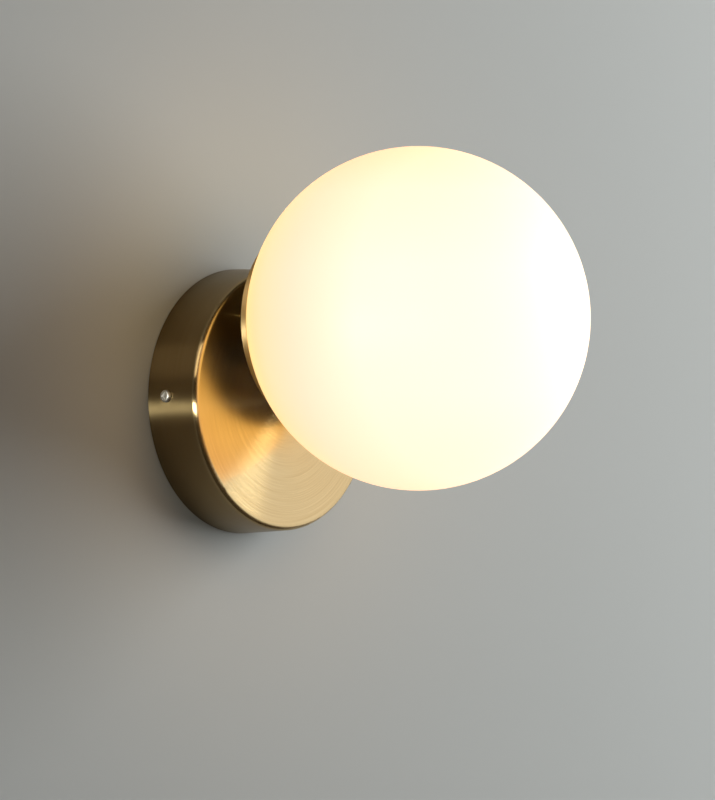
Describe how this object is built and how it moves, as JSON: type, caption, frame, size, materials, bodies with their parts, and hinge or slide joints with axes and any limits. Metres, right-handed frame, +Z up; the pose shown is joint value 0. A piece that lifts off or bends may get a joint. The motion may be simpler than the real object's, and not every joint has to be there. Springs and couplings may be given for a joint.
{
  "type": "globe wall sconce",
  "caption": "Wall light: a round brass canopy carries a shallow cup and an opal glass globe mounted above its centre; the globe unscrews to change a plug-in bulb.",
  "frame": {"origin": "on the wall, at the middle of the two slots in the wall bracket, which is the canopy centre", "axes": "+Z up, -Y out of the wall towards the room, +X to the right as seen from the room"},
  "size_m": [0.15, 0.1806, 0.1681],
  "materials": {
    "brushed_brass": "brushed and lacquered",
    "opal_glass": "opal, satin",
    "zinc_steel": "zinc plated",
    "nickel_screw": "nickel plated",
    "cast_aluminium": "turned",
    "glazed_ceramic": "unglazed white steatite",
    "silicone": "translucent white silicone",
    "terminal_plastic": "moulded",
    "bulb_plastic": "moulded",
    "bulb_cover_plastic": "frosted",
    "board_white": "white solder mask with yellow chips",
    "spring_bronze": "spring temper",
    "terminal_brass": "plain",
    "tinned_copper": "tinned",
    "brown_insulation": "silicone insulation",
    "blue_insulation": "silicone insulation",
    "green_insulation": "green with a yellow stripe"
  },
  "bodies": {
    "root": {"canopy": "brushed_brass", "cup": "brushed_brass", "spacer": "brushed_brass", "canopy_screws": "nickel_screw", "wall_bracket": "zinc_steel", "earth_screw": "zinc_steel", "bracket_earth_tag": "tinned_copper", "canopy_earth_tag": "tinned_copper", "earth_wire": "green_insulation", "live_wire": "brown_insulation", "neutral_wire": "blue_insulation", "terminal_block": "terminal_plastic", "block_screw": "zinc_steel", "terminal_sleeves": "terminal_brass", "terminal_screws": "zinc_steel", "nipple": "zinc_steel", "canopy_washer": "zinc_steel", "canopy_nut": "zinc_steel", "cup_washer": "zinc_steel", "cup_nut": "zinc_steel", "gallery": "cast_aluminium", "holder_bracket": "zinc_steel", "holder_body": "glazed_ceramic", "holder_screws": "zinc_steel", "holder_contacts": "spring_bronze"},
    "seal": {"seal_ring": "silicone"},
    "globe": {"globe": "opal_glass", "globe_ring": "cast_aluminium"},
    "bulb": {"bulb_pins": "tinned_copper", "bulb_base": "bulb_plastic", "bulb_board": "board_white", "bulb_cover": "bulb_cover_plastic"}
  },
  "joints": [
    {"name": "globe_lift", "type": "slide", "parent": "root", "child": "seal", "axis": [0, -1, 0], "range_m": [0, 0.008]},
    {"name": "globe_turn", "type": "hinge", "parent": "seal", "child": "globe", "pos_m": [0, -0.044, 0.0331], "axis": [0, -1, 0], "range_deg": [0, 720]},
    {"name": "bulb_pull", "type": "slide", "parent": "root", "child": "bulb", "axis": [0, -1, 0], "range_m": [0, 0.016]}
  ],
  "couplings": [
    {"joint": "globe_lift", "follows": "globe_turn", "m_per_rad": 0.00063662}
  ]
}
